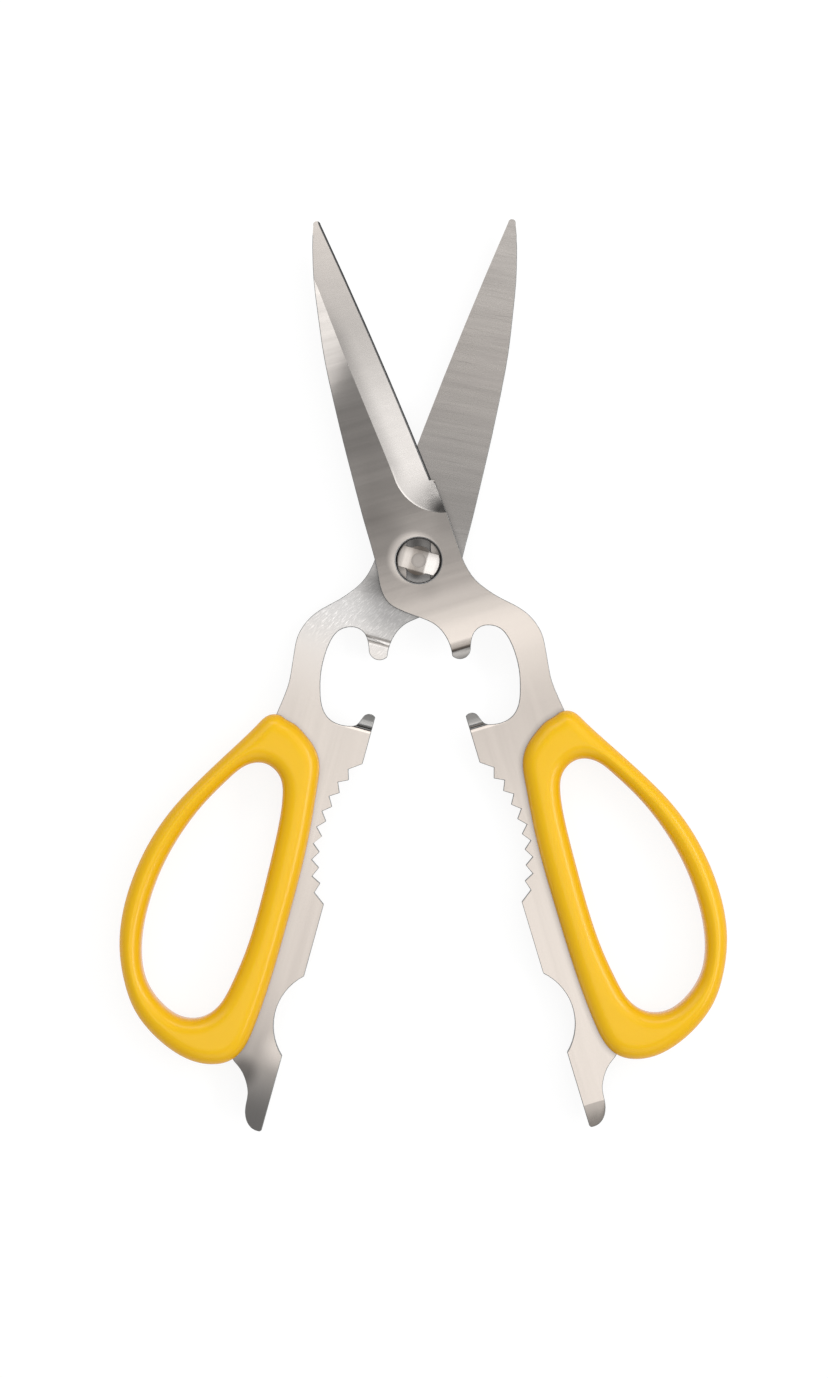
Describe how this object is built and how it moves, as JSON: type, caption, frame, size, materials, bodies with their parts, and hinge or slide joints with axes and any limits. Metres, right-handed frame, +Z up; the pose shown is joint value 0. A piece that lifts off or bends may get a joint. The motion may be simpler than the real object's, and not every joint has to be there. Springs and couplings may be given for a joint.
{
  "type": "kitchen shears",
  "caption": "Take-apart kitchen shears with a toothed jaw, bottle-opener claws, driver tails and moulded loop grips.",
  "frame": {"origin": "middle of the object's footprint, half open as it lies, on the surface under the grips", "axes": "+Y from the handles towards the blade tips, +Z up along the pivot, +X to the right seen from above"},
  "size_m": [0.1336, 0.2001, 0.01],
  "materials": {
    "blade_steel": "satin, finely brushed",
    "pivot_steel": "polished",
    "grip": "smooth semi-gloss"
  },
  "bodies": {
    "rear_half": {"rear_blade": "blade_steel", "rear_grip": "grip", "pivot_pin": "pivot_steel", "locking_bar": "pivot_steel"},
    "front_half": {"front_blade": "blade_steel", "front_grip": "grip"}
  },
  "joints": [
    {"name": "blade_pivot", "type": "hinge", "parent": "rear_half", "child": "front_half", "pos_m": [0, 0.02512, 0.005], "axis": [0, 0, 1], "range_deg": [-32.2, 74.6]}
  ]
}
